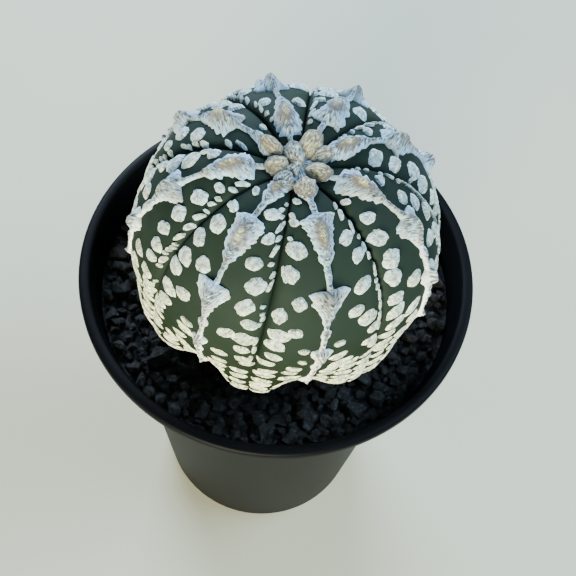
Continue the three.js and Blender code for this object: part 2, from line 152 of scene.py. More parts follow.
# Wool of the areoles
AREOLE_ANGLES = (3, 20, 46, 70, 91, 110, 128)
RIB_PHASES = (0.1, 0.55, 0.35, 0.1, -0.1, 0.3, 0, 0.55)
WOOL_START_ANGLE = 5.5
WOOL_END_ANGLE = 107
WOOL_UNDER = -0.5
WOOL_EDGE = 0.315
WOOL_LEAST = 0.22
WOOL_ROUNDNESS = 1.8
WOOL_RIDGES = ((72, 1.6), (98, 0.8))
CREST_RISES = ((12, 0.6), (30, 1.2), (50, 1.4), (80, 0.4))
CREST_PAST = -2
CREST_ANGLE = 6
CREST_WIDTH = 1.1
NECK_RISE = 0.55
NECK_WIDTHS = (0.4, 1.8)
NECK_HALF_WIDTHS = ((45, 0.55), (62, 0.3))
TUFT_SIZES = ((2, 0.45), (22, 1), (64, 1.0), (76, 0.6), (90, 0.3))
WOOL_SHARE = 0.75
TUFT_OUTLINE = ((-8, 0.55), (-6.9, 2.1), (-5.3, 3.1), (-3, 3.2), (0, 2.8), (5, 2.1), (9, 1.3), (11, 0.5))
WINGED_OUTLINE = (
    (-5.3, 0.4), (-5.1, 1.4), (-4.7, 2.4), (-4.0, 3.2), (-2.8, 3.7), (-1.4, 3.8), (0.0, 3.5), (1.2, 2.9),
    (2.5, 2.1), (4.5, 1.4), (6.5, 1.0), (8.5, 0.6), (9.5, 0.3),
)
WINGED_ANGLES = (38, 52)
BEAD_ANGLE = 35
BEAD_OUTLINE = ((10.2, 0.45), (11.2, 1.0), (13.2, 1.0), (14.4, 0.45))
BARB_SWEEPS = ((38, 0.2), (52, 0.5), (75, 0.2))
BARB_WIDTH = 0.6
BARB_POWER = 1.5
# Lobes, teeth and skew of the edges: depth and span of each noise, and its steps between ribs and edges
EDGE_NOISES = ((0.75, 0.95, 7.3, 3.1), (0.45, 0.5, 5.1, 9.7), (0.5, 4, 3.7, 5.9))
RAGGED_WIDTH = 2.4
EDGE_LUMPS = 0.4
WOOL_LUMP = 0.16
LUMP_SPAN = 0.7
WOOL_CRIMP = 0.14
CRIMP_SPAN = 0.45
CRIMP_DRAW = 3
OVAL_LENGTH = 2.6
OVAL_WIDTH = 1.1
OVAL_RISE = 0.3
OVAL_EDGE = (0.7, 1.1)
STRAW_SHARES = ((24, 0.9), (36, 0.65), (52, 0.12))
ARM_STEPS = 32
ARM_STATIONS = 240
ARM_ENDS = (0.01, 0.985)
UNDERSIDE = -0.01
LEAST_ANGLE = 1
# Heights in metres between which the felt goes from bluer tips high up, a painted cool light, to whiter,
# creamier tips low down, a painted warm light
WOOL_LIGHT_LEVELS = (0.136, 0.116)
# How many threads wide its clumps are, and how much they count against the threads
CLUMP_THREADS = 3
CLUMP_SHARE = 0.5
# Buds of wool on the crown: rib, angle from the crown, half width, half length, half height, and how tan
BUDS = (
    (6, 3.5, 2.1, 3.4, 2.2, 0.45),
    (5, 9, 2.3, 3.3, 1.9, 1),
    (3, 7.5, 2.0, 2.9, 1.8, 1),
    (2, 10, 2.3, 2.6, 1.8, 0.8),
    (1, 8, 2.1, 2.2, 1.9, 0.1),
    (0, 6.6, 2.2, 2.6, 1.9, 1),
    (7, 11, 1.6, 2.9, 1.8, 1),
    (4, 9.5, 1.7, 2.7, 1.6, 0.7),
    (1, 3, 1.6, 1.6, 1.8, 0.4),
)
BUD_STEPS = 24
BUD_RINGS = 16
BUD_NOISE_STEP = 3.0
BUD_REACH = 1
BUD_LEAST_ANGLE = 0.1
BUD_PHASE = 0.2
BUD_LUMPS = 2.2
BUD_LUMP_DEPTH = 0.16
BUD_FOLDS = (6, 2.5)
BUD_FOLD_DEPTH = 0.09
BUD_OVAL = (0.8, 0.7)
CROWN_ANGLE = 9.5
CROWN_STEPS = 64
CROWN_RINGS = 16
CROWN_LUMPS = 3
CROWN_RAGGED = 0.12
CROWN_WEAVE_TURN = 20
DIMPLE_RISE = 0.6

# Flecks of felt
FLECK_ANGLES = (9, 129)
FLECK_ROW_STEPS = ((50, 4.7), (72, 3.3), (92, 2.35))
FLECK_SLOPES = ((50, 0.5), (105, 0.3))
FLECK_SIZES = ((12, 1.2), (28, 1.75), (48, 2.0), (75, 1.85), (95, 1.6))
FLECK_LENGTHS = ((55, 1.0), (90, 1.3))
FLECK_HEIGHTS = ((50, 0.92), (75, 0.72), (92, 0.46))
FLECK_LIFTS = ((62, 1), (88, 0.45))
FLECK_PITCH = 2.4
FLECK_LEAST = 0.5
FLECK_COLUMNS = 4
FLECK_CLEARANCE = 0.3
SEAM_ROOMS = ((66, 1.0), (84, -0.6))
FLECK_SHIFT = 0.8
FLECK_STAGGER = 0.4
FLECK_STRAY_DOWN = 1.2
FLECK_STRAY_SIZE = 0.5
DENSE_ANGLE = 60
FLECK_TURNS = (3, 0.6)
WOOL_REACH = (-3, 0, 3)
FLECK_SIDES = 16
FLECK_SQUARENESS = 0.95
FLECK_SEED_STEP = 40
FLECK_LOBES = 2
FLECK_MORE_LOBES = 3
FRILL_MORE_LOBES = 3
LOBE_DEPTH = 0.08
FRILL_DEPTH = 0.05
EDGE_STRAY = 0.02
TOP_STRAY = 0.08
# How far each ring of a fleck lies from its middle, and how high it stands off the skin in millimetres
FLECK_RINGS = ((0, 0.62), (0.76, 0.55), (1.0, 0.05), (0.8, -0.45), (0, -0.5))

# Chains of small flecks down the creases
CHAIN_START_ANGLE = 15
CHAIN_START_STRAY = 6
CHAIN_END_ANGLE = 86
CHAIN_LENGTH = 0.4
CHAIN_LONGER = 1.2
CHAIN_LENGTH_POWER = 1.5
CHAIN_WIDTH = 0.38
CHAIN_WIDER = 0.27
CHAIN_CLEARANCE = 0.25
CHAIN_STRAY = 0.6
CHAIN_GAP = 1.2
CHAIN_SIDES = 10
CHAIN_SQUARENESS = 0.75
# The share of the places of a chain that hold a fleck, on each side of a rib
CHAIN_SHARES = {-1: 0.08, 1: 0.8}

# Names and sockets of the shader nodes; the Mix node's are those for colours
SHADER = "Principled BSDF"
VECTOR_MATH = "ShaderNodeVectorMath"
MIX_FACTOR = 0
MIX_A = 6
MIX_B = 7
MIX_RESULT = 2

# Studio, in metres but for the floor, which is in millimetres like every mesh
FLOOR_REACH = 2000
ROOM_COLOUR = "#cfe0ee"
ROOM_STRENGTH = 0.34
LIGHT_AIM = Vector((0, 0, 0.09))
# Each light: its name, place, width, power and colour
LIGHTS = (
    ("side window", (0.82, 0.1, 0.85), 0.9, 26, "#cfeaff"),
    ("back window", (-0.3, 1.0, 0.6), 0.8, 51, "#d8ecff"),
    ("front lamp", (-0.2, -0.97, 0.28), 0.5, 50, "#fcf3ce"),
)
CAMERA_LENS = 68.75
CAMERA_SENSOR = 36
CAMERA_NEAREST = 0.01
CAMERA_PLACE = (0, -0.12386, 0.31726)
CAMERA_RIGHT = Vector((0.994301, 0.087775, 0.060504))
CAMERA_UP = Vector((-0.106021, 0.873588, 0.474977))
CAMERA_BACK = Vector((-0.011164, -0.478685, 0.877916))


def chance(a, b=0, c=0, d=0):
    """A number from 0 to 1 that depends only on its arguments."""
    return math.sin(a * 12.9898 + b * 78.233 + c * 37.719 + d * 9.151) * 43758.5453 % 1.0


def along(points, x):
    """The value at x of a line through points of (x, y)."""
    if x <= points[0][0]:
        return points[0][1]
    for (x0, y0), (x1, y1) in zip(points, points[1:]):
        if x <= x1:
            return y0 + (y1 - y0) * (x - x0) / (x1 - x0)
    return points[-1][1]


def smoothstep(x, low, high):
    t = min(max((x - low) / (high - low), 0), 1)
    return t * t * (3 - 2 * t)


def rib_azimuth(rib, polar):
    return RIB_AZIMUTHS[rib] + along(((DRIFT_ANGLES[0], 0), (DRIFT_ANGLES[1], RIB_DRIFTS[rib])), polar)


def half_angle(rib, side, polar):
    """Half the angle between a rib and the next one round, on the side that is +1 or -1."""
    beyond = (rib + side) % len(RIBS)
    return side * (rib_azimuth(beyond, polar) - rib_azimuth(rib, polar)) % 360 / 2


def crease_left(polar):
    """The share of a crease that is left at an angle from the crown."""
    return 1 - CREASE_FADE * smoothstep(polar, *CREASE_FADE_ANGLES)


def skin(rib, phase, polar, lift=0.0):
    """A point of the skin; phase runs from -1 at one crease of the rib to 1 at the other."""
    azimuth = math.radians(rib_azimuth(rib, polar) + phase * half_angle(rib, -1 if phase < 0 else 1, polar))
    angle = math.radians(polar)
    x = math.sin(angle) * math.cos(azimuth)
    y = math.sin(angle) * math.sin(azimuth)
    z = math.cos(angle)
    out = Vector((x / GIRTH_R, y / GIRTH_R, z / HALF_HEIGHT)).normalized()
    side = abs(phase)
    low = smoothstep(polar, *SWELL_ANGLES)
    rounding = RIB_ROUNDING * (1 - low) * side ** ROUNDING_POWER
    crease = CREASE_DEPTH * crease_left(polar) * side ** CREASE_POWER
    fold = smoothstep(polar, *FOLD_ANGLES) * (rounding + crease)
    swollen = SWELL_OUT * smoothstep(side, *SWELL_OUT_PHASES)
    swell = low * (swollen - SWELL_IN * (1 - smoothstep(side, *SWELL_IN_PHASES)))
    dimple = CROWN_DIMPLE * math.exp(-((polar / CROWN_DIMPLE_SPAN) ** 2))
    point = Vector((GIRTH_R * x, GIRTH_R * y, HALF_HEIGHT * z - dimple)) + out * (lift - fold + swell)
    point.x += LEAN * point.z
    return point + CENTRE


def crease_at(rib, side, polar):
    """How many millimetres of skin lie between the middle of a rib and its crease on one side."""
    return GIRTH_R * math.sin(math.radians(polar)) * math.radians(half_angle(rib, side, polar))


def phase_at(rib, across, polar):
    return across / crease_at(rib, -1 if across < 0 else 1, polar)


def areole(rib, index):
    """The angle from the crown of an areole of a rib, and the size of its tuft."""
    angle = along(tuple(enumerate(AREOLE_ANGLES)), index + RIB_PHASES[rib])
    return angle, along(TUFT_SIZES, angle)


def wool_at(rib, polar):
    """Half the width of the wool at an angle from the crown, and how far the crest of a tuft stands above."""
    half_width = along(NECK_HALF_WIDTHS, polar)
    crest = 0
    for index in range(len(AREOLE_ANGLES) - 1):
        angle, size = areole(rib, index)
        past = (polar - angle) / size
        winged = smoothstep(angle, *WINGED_ANGLES)
        outline = (1 - winged) * along(TUFT_OUTLINE, past) + winged * along(WINGED_OUTLINE, past)
        half_width = max(half_width, size * outline)
        if angle > BEAD_ANGLE:
            half_width = max(half_width, along(BEAD_OUTLINE, past))
        crest = max(crest, along(CREST_RISES, angle) * (1 - ((past - CREST_PAST) / CREST_ANGLE) ** 2))
    room = WOOL_SHARE * min(crease_at(rib, -1, polar), crease_at(rib, 1, polar))
    return min(half_width, room), crest


def linear(code):
    """An sRGB hex value as linear red, green, blue and alpha."""
    channels = [int(code[i : i + 2], 16) / 255 for i in (1, 3, 5)]
    return (*(c / 12.92 if c <= 0.04045 else ((c + 0.055) / 1.055) ** 2.4 for c in channels), 1)


def per_mm(size):
    """A texture scale that gives a pattern of this size in millimetres."""
    return 1 / (size * MM)


def add_node(tree, kind, inputs=(), **settings):
    """Adds a node. Settings are its properties, and each input is a value or the socket of another node."""
    node = tree.nodes.new(kind)
    for name, value in settings.items():
        setattr(node, name, value)
    for name, value in dict(inputs).items():
        if isinstance(value, bpy.types.NodeSocket):
            tree.links.new(value, node.inputs[name])
        else:
            node.inputs[name].default_value = value
    return node


def add_attribute(tree, name):
    """The sockets of an attribute that a piece's own vertices carry."""
    return add_node(tree, "ShaderNodeAttribute", attribute_name=name).outputs


def add_height(tree, place):
    """The height of a place on its piece, in metres."""
    return add_node(tree, "ShaderNodeSeparateXYZ", {"Vector": place}).outputs["Z"]


def add_noise(tree, place, size, detail, roughness=0.5, distortion=0):
    """Cloudy noise whose lumps have a size in millimetres."""
    inputs = {"Vector": place, "Scale": per_mm(size)}
    inputs |= {"Detail": detail, "Roughness": roughness, "Distortion": distortion}
    return add_node(tree, "ShaderNodeTexNoise", inputs).outputs["Fac"]


def add_cells(tree, place, size):
    """The sockets of a pattern of cells whose size is in millimetres."""
    return add_node(tree, "ShaderNodeTexVoronoi", {"Vector": place, "Scale": per_mm(size)}).outputs


def add_range(tree, source, low, high, to_low=0, to_high=1):
    """Stretches a value, so that low becomes to_low and high becomes to_high."""
    inputs = {"Value": source, "From Min": low, "From Max": high, "To Min": to_low, "To Max": to_high}
    return add_node(tree, "ShaderNodeMapRange", inputs).outputs["Result"]


def add_math(tree, operation, *terms, kind="ShaderNodeMath"):
    """The result of a Math node, or of one for vectors, on its terms."""
    return add_node(tree, kind, enumerate(terms), operation=operation).outputs[0]


def add_mix(tree, share, low, high):
    """A colour that goes from low to high as the share grows."""
    inputs = {MIX_FACTOR: share, MIX_A: low, MIX_B: high}
    return add_node(tree, "ShaderNodeMix", inputs, data_type="RGBA").outputs[MIX_RESULT]


def add_ramp(tree, source, *stops):
    """The colour of a ramp through stops of place and sRGB hex value, the lowest first."""
    ramp = add_node(tree, "ShaderNodeValToRGB", {"Fac": source})
    elements = ramp.color_ramp.elements
    for element, (place, code) in zip(elements, (stops[0], stops[-1])):
        element.position = place
        element.color = linear(code)
    for place, code in stops[1:-1]:
        elements.new(place).color = linear(code)
    return ramp.outputs["Color"]


def add_relief(tree, shader, height, strength, depth):
    """Gives a surface fine relief from a height, with a depth in millimetres."""
    inputs = {"Height": height, "Strength": strength, "Distance": depth * MM}
    bump = add_node(tree, "ShaderNodeBump", inputs)
    tree.links.new(bump.outputs["Normal"], shader.inputs["Normal"])


def new_material(name):
    """A material, its node tree, its shader and the socket of the place on its piece."""
    material = bpy.data.materials.new(name)
    material.use_nodes = True
    tree = material.node_tree
    place = add_node(tree, "ShaderNodeTexCoord").outputs["Object"]
    return material, tree, tree.nodes[SHADER], place


def moulded_polypropylene():
    # Black polypropylene, injection moulded: a dull satin face, blue-black in slightly uneven clouds, with a
    # very faint ripple that softens its highlights.
    material, tree, shader, place = new_material("moulded black polypropylene")
    cloud = add_noise(tree, place, size=9, detail=6, roughness=0.7)
    colour = add_ramp(tree, cloud, (0.35, "#020306"), (0.75, "#04060a"))
    ripple = add_noise(tree, place, size=0.6, detail=3)
    add_relief(tree, shader, ripple, strength=0.25, depth=0.05)
    tree.links.new(colour, shader.inputs["Base Color"])
    shader.inputs["Roughness"].default_value = 0.5
    shader.inputs["IOR"].default_value = 1.49
    shader.inputs["Specular IOR Level"].default_value = 0.06
    return material


def peat_mix():
    # Peat and fine bark, loosely filled: dull brown-black crumbs.
    material, tree, shader, place = new_material("peat and bark mix")
    crumb = add_cells(tree, place, size=1.6)
    colour = add_ramp(tree, crumb["Color"], (0, "#1b1613"), (1, "#40342a"))
    add_relief(tree, shader, crumb["Distance"], strength=0.8, depth=0.8)
    tree.links.new(colour, shader.inputs["Base Color"])
    shader.inputs["Roughness"].default_value = 0.95
    return material


def crushed_lava():
    # Crushed dark volcanic stone, washed and a little damp: each stone near black or blue-grey, greyer and
    # duller in clouds that are partly a worn crust and partly painted highlight, with deep pores that break
    # its soft shine.
    material, tree, shader, place = new_material("crushed volcanic stone")
    tone = add_attribute(tree, "tone")["Fac"]
    stone = add_ramp(tree, tone, (0, "#010102"), (0.6, "#030405"), (1, "#0e1215"))
    grain = add_noise(tree, place, size=1.1, detail=7, roughness=0.75)
    # Painted highlight, partly real: lighter blue-grey clouds on each stone stand for glints as well as a
    # worn crust.
    crust_and_glints = add_range(tree, grain, low=0.5, high=0.68)
    colour = add_mix(tree, crust_and_glints, stone, linear("#3e454b"))
    dullness = add_range(tree, grain, low=0.3, high=0.7, to_low=0.42, to_high=0.75)
    pores = add_noise(tree, place, size=0.9, detail=8, roughness=0.8)
    add_relief(tree, shader, pores, strength=1, depth=1.1)
    tree.links.new(colour, shader.inputs["Base Color"])
    tree.links.new(dullness, shader.inputs["Roughness"])
    shader.inputs["IOR"].default_value = 1.55
    shader.inputs["Specular IOR Level"].default_value = 0.3
    return material


def waxy_epidermis():
    # Living cactus skin with a thin wax: deep green and more olive low down, bluer and a little lighter above
    # as a painted reflection of the cool sky, slightly mottled, with fine pores and a soft sheen.
    material, tree, shader, place = new_material("waxy cactus epidermis")
    # Painted reflection: the skin turns a lighter blue-green towards the top, as if it mirrored the cool sky.
    level = add_range(tree, add_height(tree, place), *SKIN_LIGHT_LEVELS)
    green = add_ramp(tree, level, (0, "#1c210d"), (0.5, "#151d12"), (1, "#1b2622"))
    mottle = add_noise(tree, place, size=5, detail=5, roughness=0.6)
    pale = add_range(tree, mottle, low=0.4, high=0.8, to_high=0.35)
    colour = add_mix(tree, pale, green, linear("#1f2b21"))
    pores = add_cells(tree, place, size=0.35)
    add_relief(tree, shader, pores["Distance"], strength=0.2, depth=0.08)
    tree.links.new(colour, shader.inputs["Base Color"])
    shader.inputs["Roughness"].default_value = 0.6
    shader.inputs["IOR"].default_value = 1.42
    shader.inputs["Specular IOR Level"].default_value = 0.045
    return material


def felt(name, shade, tips, thread, run, rim_light, comb=0.0):
    """Matted plant hair on the piece's own weave, with the sockets of its colour and of how much of it takes
    a tip rather than the shade. It has a dark shade, partly the skin seen where the mat is thin and partly
    painted shade in the
    hollows of its relief, and three tips: for hairs high up, bluer as a painted cool light, for stained
    patches, and for hairs low down, whiter and creamier as a painted warm light. Thread is their thickness in
    millimetres, run draws them out, comb fans them round the middle of a fleck, and the rim weight lightens
    the rim as a painted highlight."""
    material, tree, shader, place = new_material(name)
    weave = add_attribute(tree, "weave")["Vector"]
    flat = add_math(tree, "MULTIPLY", weave, (1, 1, 0), kind=VECTOR_MATH)
    ray = add_math(tree, "NORMALIZE", flat, kind=VECTOR_MATH)
    lie = add_math(tree, "MULTIPLY", weave, run, kind=VECTOR_MATH)
    fan = add_math(tree, "MULTIPLY_ADD", ray, (comb, comb, 0), lie, kind=VECTOR_MATH)
    fibre = add_noise(tree, fan, size=thread, detail=5, roughness=0.6, distortion=0.4)
    clump = add_noise(tree, weave, size=thread * CLUMP_THREADS, detail=3)
    height = add_math(tree, "MULTIPLY_ADD", clump, CLUMP_SHARE, fibre)
    # Painted highlight: the rim of each fleck and the edges of each arm are lightened, as by light through
    # thin hair.
    rim = add_attribute(tree, "rim")["Fac"]
    lit = add_math(tree, "MULTIPLY_ADD", rim, rim_light, height)
    # Painted shade, partly real: where the fibre relief is low the colour falls to the dark shade, for shaded
    # hollows and for skin seen through a thin mat.
    thick = add_range(tree, lit, low=0.68, high=0.93)
    # Painted light: the tips go from a bluer colour high up, as under cool light, to a whiter, creamier one
    # low down, as under the warm lamp in front.
    light_level = add_range(tree, add_height(tree, place), *WOOL_LIGHT_LEVELS)
    patch = add_noise(tree, place, size=4.5, detail=2)
    stained = add_range(tree, patch, low=0.45, high=0.62)
    high, stain, low = (linear(tip) for tip in tips)
    tip = add_mix(tree, light_level, add_mix(tree, stained, high, stain), low)
    colour = add_mix(tree, thick, linear(shade), tip)
    add_relief(tree, shader, height, strength=0.8, depth=0.25)
    tree.links.new(colour, shader.inputs["Base Color"])
    shader.inputs["Roughness"].default_value = 0.95
    shader.inputs["Sheen Weight"].default_value = 0.2
    shader.inputs["Specular IOR Level"].default_value = 0.15
    return material, colour, thick


def fleck_felt():
    # Star-shaped hairs matted into flecks: chalk white, with a blue cast above and creamy low down that are
    # painted cool and warm light, combed out to a rim lightened by a painted highlight, and a little darker
    # where the mat cracks, partly the skin beneath and partly painted shade.
    tips = ("#c0dde9", "#cbd9d3", "#f8ffda")
    run = (0.4, 0.4, 1)
    return felt("matted white plant hair", "#5f6d6a", tips, 0.3, run, rim_light=0.08, comb=1.6 * MM)[0]


def areole_wool():
    # Dense wool of the areoles: blue-grey above and whiter low down, a painted cool and warm light, with a
    # painted highlight on its edges, dark in its hollows, partly painted shade, and a straw oval that browns
    # towards its edge over each young growing point.
    tips = ("#9dbed5", "#99a2a4", "#f8fffa")
    run = (1, 0.18, 1)
    material, colour, thick = felt("areole wool", "#28323b", tips, 0.26, run, rim_light=0.24)
    tree = material.node_tree
    growth = add_attribute(tree, "growth")["Vector"]
    oval = add_node(tree, "ShaderNodeSeparateXYZ", {"Vector": growth}).outputs
    beside = add_math(tree, "ABSOLUTE", oval["Y"])
    out = add_math(tree, "MULTIPLY_ADD", oval["X"], oval["X"], beside)
    browning = add_ramp(tree, out, (0.1, "#c9cea2"), (0.55, "#a6a788"), (0.8, "#443f3c"))
    # Painted shade: the straw's dark threads lie in the hollows of its relief.
    straw = add_mix(tree, thick, linear("#57524b"), browning)
    inside = add_range(tree, out, low=1.9, high=0.9)
    share = add_math(tree, "MULTIPLY", inside, oval["Z"])
    tree.links.new(add_mix(tree, share, colour, straw), tree.nodes[SHADER].inputs["Base Color"])
    return material


def pale_board():
    # A matt painted board: a pale grey-green white in faint broad clouds.
    material, tree, shader, place = new_material("pale painted board")
    cloud = add_noise(tree, place, size=120, detail=2)
    colour = add_ramp(tree, cloud, (0, "#999b8b"), (1, "#a5a898"))
    tree.links.new(colour, shader.inputs["Base Color"])
    shader.inputs["Roughness"].default_value = 0.7
    return material


def finished(name, bm, material, smooth=True, slot=None, nodes=()):
    """Turns a mesh in millimetres into a named piece in metres."""
    bmesh.ops.scale(bm, vec=(MM, MM, MM), verts=bm.verts)
    for edge in bm.edges:
        edge.smooth = edge.calc_face_angle(0) < SHARP_ANGLE
    mesh = bpy.data.meshes.new(name)
    bm.to_mesh(mesh)
    bm.free()
    mesh.polygons.foreach_set("use_smooth", [smooth] * len(mesh.polygons))
    mesh.materials.append(material)
    piece = bpy.data.objects.new(name, mesh)
    bpy.context.scene.collection.objects.link(piece)
    if slot:
        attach(piece, "root")
    if nodes:
        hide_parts(*nodes)
    return piece


def join(bm, shape):
    """Adds a small finished shape to a piece."""
    carrier = bpy.data.meshes.new("carrier")
    shape.to_mesh(carrier)
    shape.free()
    bm.from_mesh(carrier)
    bpy.data.meshes.remove(carrier)


def angle_from_top(vert):
    """The angle between a vertex of a ball and the ball's top."""
    return math.acos(max(-1, min(1, vert.co.z)))


def angle_round(vert):
    """The angle of a vertex round the upright axis."""
    return math.atan2(vert.co.y, vert.co.x)


def spun(bm, profile, steps):
    """Spins a closed profile of (radius, height) round the upright axis."""
    ends = [bm.verts.new((r, 0, z)) for r, z in profile]
    edges = [bm.edges.new(pair) for pair in zip(ends, ends[1:])]
    bmesh.ops.spin(
        bm, geom=ends + edges, cent=(0, 0, 0), axis=(0, 0, 1), angle=math.tau, steps=steps, use_merge=True
    )
    bmesh.ops.remove_doubles(bm, verts=bm.verts, dist=MERGE_DISTANCE)
    bmesh.ops.recalc_face_normals(bm, faces=bm.faces)


def add_floor(bm, level):
    """Closes the pot at one level, round the drain holes, and returns the edges of each hole."""
    open_edges = [edge for edge in bm.edges if edge.is_boundary]
    rim = [edge for edge in open_edges if abs(edge.verts[0].co.z - level) < LEVEL_TOLERANCE]
    holes = []
    for i in range(DRAIN_COUNT):
        turn = i * math.tau / DRAIN_COUNT
        place = Matrix.Translation((DRAIN_RING_R * math.cos(turn), DRAIN_RING_R * math.sin(turn), level))
        made = bmesh.ops.create_circle(bm, segments=DRAIN_STEPS, radius=DRAIN_R, matrix=place)
        holes.append(list({edge for vert in made["verts"] for edge in vert.link_edges}))
    bmesh.ops.triangle_fill(bm, edges=rim + sum(holes, []), use_beauty=True, use_dissolve=False)
    return holes


def make_pot(material):
    outer = (
        (BASE_R - FOOT_WIDTH, FOOT_HEIGHT),
        (BASE_R - FOOT_WIDTH, 0),
        (BASE_R - CORNER, 0),
        (BASE_R - CORNER_CUT, CORNER_CUT),
        (BASE_R, CORNER),
        (BODY_TOP_R, COLLAR_Z - SHOULDER_HEIGHT),
        (COLLAR_R - COLLAR_TAPER, COLLAR_Z),
        (COLLAR_R, LIP_Z),
        (LIP_R - CORNER_CUT, LIP_Z),
        (LIP_R, LIP_Z + CORNER_CUT),
        (LIP_R, POT_HEIGHT - CORNER),
        (LIP_R - CORNER_CUT, POT_HEIGHT - CORNER_CUT),
        (LIP_R - CORNER, POT_HEIGHT),
    )
    inner = (
        (LIP_INNER_R, POT_HEIGHT),
        (LIP_INNER_R - INNER_CORNER_CUT, POT_HEIGHT - CORNER_CUT),
        (LIP_INNER_R - CORNER, POT_HEIGHT - CORNER),
        (COLLAR_R - WALL, LIP_Z),
        (COLLAR_R - COLLAR_TAPER - WALL, COLLAR_Z + WALL / 2),
        (BODY_TOP_R - WALL, COLLAR_Z - SHOULDER_HEIGHT + WALL / 2),
        (BASE_R - WALL, FOOT_HEIGHT + FLOOR_THICKNESS),
    )
    bm = bmesh.new()
    spun(bm, outer + inner, POT_STEPS)
    under = add_floor(bm, FOOT_HEIGHT)
    upper = add_floor(bm, FOOT_HEIGHT + FLOOR_THICKNESS)
    for pair in zip(under, upper):
        bmesh.ops.bridge_loops(bm, edges=pair[0] + pair[1])
    bmesh.ops.recalc_face_normals(bm, faces=bm.faces)
    return finished("nursery_pot", bm, material, slot="pot", nodes=("pot",))


def make_skin(material):
    bm = bmesh.new()
    steps = SKIN_STEPS * len(RIBS)
    bmesh.ops.create_uvsphere(bm, u_segments=steps, v_segments=SKIN_RINGS, radius=1)
    for vert in bm.verts:
        polar = math.degrees(angle_from_top(vert))
        step = round(angle_round(vert) / math.tau * steps) % steps
        rib, part = divmod(step, SKIN_STEPS)
        even = 2 * part / SKIN_STEPS - 1
        phase = math.copysign(1 - (1 - abs(even)) ** SKIN_CROWDING, even)
        gap = (1 - abs(phase)) * max(crease_at(rib, -1 if phase < 0 else 1, polar), GROOVE_ROOM)
        groove = GROOVE_DEPTH * smoothstep(polar, *GROOVE_ANGLES) * crease_left(polar)
        groove *= math.exp(-((gap / GROOVE_WIDTH) ** 2))
        dent = DENT_DEPTH * noise.noise(skin(rib, phase, polar) / DENT_SIZE)
        vert.co = skin(rib, phase, polar, dent - groove)
    bmesh.ops.recalc_face_normals(bm, faces=bm.faces)
    return finished("cactus_skin", bm, material, slot="cactus_skin", nodes=("cactus_body",))


def fleck_rows():
    """The angles from the crown at which rows of flecks start."""
    rows = [FLECK_ANGLES[0]]
    while rows[-1] < FLECK_ANGLES[1]:
        rows.append(rows[-1] + along(FLECK_ROW_STEPS, rows[-1]) / MM_PER_DEGREE)
    return rows


def fleck_at(rib, side, row, row_angle, column):
    """The fleck at one place of one row, or None where the wool leaves no room for it."""

    def draw(n):
        return chance(rib + 1, side * (row + 1), column + 1, n) - 0.5

    def wool_beside(angle):
        return FLECK_CLEARANCE + max(wool_at(rib, angle + step)[0] for step in WOOL_REACH)

    row_step = along(FLECK_ROW_STEPS, row_angle)
    start = row_angle + FLECK_SHIFT * row_step * chance(rib + 1, side, 5) / MM_PER_DEGREE
    full = along(FLECK_SIZES, start) * along(FLECK_LENGTHS, start)
    seam = along(SEAM_ROOMS, start)
    outer = crease_at(rib, side, start) - FLECK_CLEARANCE - (seam if side > 0 or seam < 0 else 0)
    strip = outer - wool_beside(start)
    columns = max(1, round(strip / (full * FLECK_PITCH)))
    if column >= columns or strip < 2 * full * FLECK_LEAST:
        return None
    pitch = strip / columns
    length = min(full * (1 + FLECK_STRAY_SIZE * draw(3)), pitch / 2)
    inward = pitch * (column + 0.5) + (pitch - 2 * length) * draw(1)
    stagger = FLECK_STAGGER * row_step * (column % 2)
    down = along(FLECK_SLOPES, start) * inward + stagger + FLECK_STRAY_DOWN * draw(2)
    polar = start + down / MM_PER_DEGREE
    across = outer - inward
    length = min(length, across - wool_beside(polar))
    if length < full * FLECK_LEAST or polar > FLECK_ANGLES[1]:
        return None
    height = length * along(FLECK_HEIGHTS, polar) / along(FLECK_LENGTHS, polar)
    turn = draw(4) * FLECK_TURNS[1 if polar > DENSE_ANGLE else 0]
    return rib, side * across, polar, length, height, turn


def add_fleck(bm, rib, across, polar, length, height, turn, sides=FLECK_SIDES, squareness=FLECK_SQUARENESS):
    """A felt pad with a lobed edge, sunk into the skin."""
    seed = rib * FLECK_SEED_STEP + across + polar
    lobes = FLECK_LOBES + int(FLECK_MORE_LOBES * chance(seed, 1))
    start = math.tau * chance(seed, 2)
    last = len(FLECK_RINGS) - 1
    pad = bmesh.new()
    rim = pad.verts.layers.float.new("rim")
    weave = pad.verts.layers.float_vector.new("weave")
    bmesh.ops.create_uvsphere(pad, u_segments=sides, v_segments=last, radius=1)
    for vert in pad.verts:
        ring = round(angle_from_top(vert) / math.pi * last)
        around = angle_round(vert)
        step = round(around / math.tau * sides) % sides
        reach, lift = FLECK_RINGS[ring]
        vert[rim] = reach
        lobe = LOBE_DEPTH * math.sin(lobes * around + start)
        frill = FRILL_DEPTH * math.sin((lobes + FRILL_MORE_LOBES) * around - 2 * start)
        reach *= 1 + (lobe + frill) + EDGE_STRAY * (chance(seed, step, 3) - 0.5)
        x = length * reach * math.copysign(abs(math.cos(around)) ** squareness, math.cos(around))
        y = height * reach * math.copysign(abs(math.sin(around)) ** squareness, math.sin(around))
        sideways = across + x * math.cos(turn) - y * math.sin(turn)
        angle = polar + (x * math.sin(turn) + y * math.cos(turn)) / MM_PER_DEGREE
        if lift > 0:
            lift = lift * along(FLECK_LIFTS, polar) + TOP_STRAY * (chance(seed, step, ring, 4) - 0.5)
        vert.co = skin(rib, phase_at(rib, sideways, angle), angle, lift)
        vert[weave] = Vector((x, y, seed)) * MM
    join(bm, pad)


